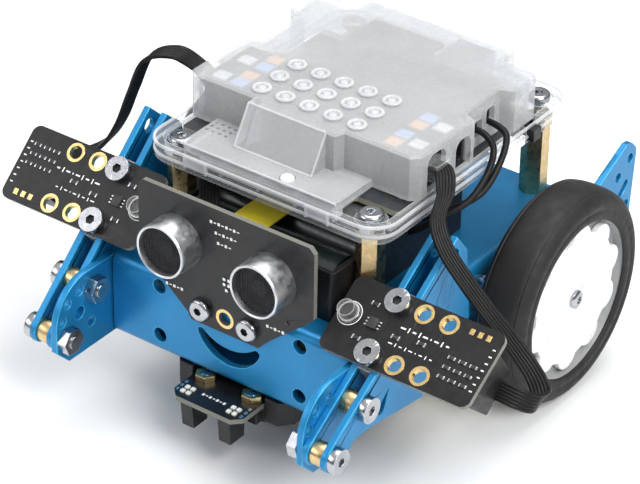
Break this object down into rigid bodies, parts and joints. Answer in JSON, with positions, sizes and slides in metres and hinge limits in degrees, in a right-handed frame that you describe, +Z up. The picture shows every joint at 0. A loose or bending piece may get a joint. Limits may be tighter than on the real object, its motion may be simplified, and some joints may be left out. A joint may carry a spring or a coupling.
{
  "type": "two-wheeled educational coding robot",
  "caption": "Two-wheeled rover with a folded blue sheet chassis, clear electronics case, sonar eyes and two tilted light sensor boards in front.",
  "frame": {"origin": "on the ground, midway between the two wheels, straight under the wheel axle", "axes": "+Z up, the robot's face looks along -Y, +X is the right-hand side seen from the front; the wheel axle runs along X"},
  "size_m": [0.1796, 0.1637, 0.0943],
  "materials": {
    "blue_sheet": "satin anodised",
    "brass_parts": "nickelled brass",
    "clear_plastic": "clear moulded",
    "frosted_plastic": "frosted moulded",
    "steel_fastener": "bright plated",
    "board_green": "solder mask",
    "board_black": "black solder mask",
    "eye_clear": "clear lens",
    "black_plastic": "black moulded",
    "white_plastic": "white moulded",
    "cell_wrap": "shrink wrap",
    "yellow_label": "label",
    "bright_aluminium": "bright turned",
    "dark_mesh": "dark woven mesh",
    "yellow_gearbox": "moulded",
    "motor_steel": "zinc plated",
    "tyre_rubber": "matt rubber",
    "ball_steel": "polished",
    "cable_black": "matt jacket"
  },
  "bodies": {
    "chassis_frame": {"chassis": "blue_sheet", "bracket_plates_left": "blue_sheet", "bracket_plates_right": "blue_sheet", "bracket_spacers": "brass_parts", "standoffs": "brass_parts", "line_nuts": "brass_parts", "bracket_blocks": "clear_plastic", "bracket_nuts": "steel_fastener", "motor_nuts": "steel_fastener", "bracket_screws": "steel_fastener", "light_screws": "steel_fastener", "sensor_screws": "steel_fastener", "standoff_screws": "steel_fastener", "lip_screws": "steel_fastener", "motor_screws": "steel_fastener", "case_cover": "frosted_plastic", "case_base": "clear_plastic", "control_board": "board_green", "light_board_left": "board_black", "light_board_right": "board_black", "ultrasonic_board": "board_black", "line_sensor_board": "board_black", "light_eyes": "eye_clear", "board_chips": "black_plastic", "wireless_module": "black_plastic", "buzzer": "black_plastic", "usb_socket": "black_plastic", "power_switch_body": "black_plastic", "board_sockets": "black_plastic", "sensor_sockets": "black_plastic", "battery_socket": "black_plastic", "line_sensor_eyes": "black_plastic", "caster_housing": "black_plastic", "battery_holder": "black_plastic", "push_button_body": "black_plastic", "battery_cells": "cell_wrap", "battery_strip": "yellow_label", "transducer_cans": "bright_aluminium", "transducer_cones": "dark_mesh", "gearbox_left": "yellow_gearbox", "gearbox_right": "yellow_gearbox", "motor_cans": "motor_steel", "sensor_cables": "cable_black", "battery_lead": "cable_black"},
    "wheel_left": {"output_shaft_left": "white_plastic", "output_gear_left": "white_plastic", "wheel_hub_left": "white_plastic", "tyre_left": "tyre_rubber", "wheel_screw_left": "steel_fastener"},
    "wheel_right": {"output_shaft_right": "white_plastic", "output_gear_right": "white_plastic", "wheel_hub_right": "white_plastic", "tyre_right": "tyre_rubber", "wheel_screw_right": "steel_fastener"},
    "idler_left": {"idler_gear_left": "white_plastic"},
    "idler_right": {"idler_gear_right": "white_plastic"},
    "caster": {"caster_ball": "ball_steel"},
    "switch_knob": {"power_switch_knob": "black_plastic"},
    "button_cap": {"push_button_cap": "white_plastic"}
  },
  "joints": [
    {"name": "wheel_left_spin", "type": "hinge", "parent": "chassis_frame", "child": "wheel_left", "pos_m": [0, 0, 0.032], "axis": [1, 0, 0], "continuous": true},
    {"name": "wheel_right_spin", "type": "hinge", "parent": "chassis_frame", "child": "wheel_right", "pos_m": [0, 0, 0.032], "axis": [1, 0, 0], "continuous": true},
    {"name": "idler_left_spin", "type": "hinge", "parent": "chassis_frame", "child": "idler_left", "pos_m": [0, -0.01155, 0.032], "axis": [1, 0, 0], "continuous": true},
    {"name": "idler_right_spin", "type": "hinge", "parent": "chassis_frame", "child": "idler_right", "pos_m": [0, -0.01155, 0.032], "axis": [1, 0, 0], "continuous": true},
    {"name": "caster_ball_roll", "type": "hinge", "parent": "chassis_frame", "child": "caster", "pos_m": [0, -0.0624, 0.0072], "axis": [1, 0, 0], "continuous": true},
    {"name": "power_switch_slide", "type": "slide", "parent": "chassis_frame", "child": "switch_knob", "axis": [0, 1, 0], "range_m": [0, 0.0025]},
    {"name": "push_button_press", "type": "slide", "parent": "chassis_frame", "child": "button_cap", "axis": [0, 0, -1], "range_m": [0, 0.0004], "stiffness_N_per_m": 500}
  ],
  "couplings": [
    {"joint": "idler_left_spin", "follows": "wheel_left_spin", "ratio": -2.8},
    {"joint": "idler_right_spin", "follows": "wheel_right_spin", "ratio": -2.8}
  ]
}
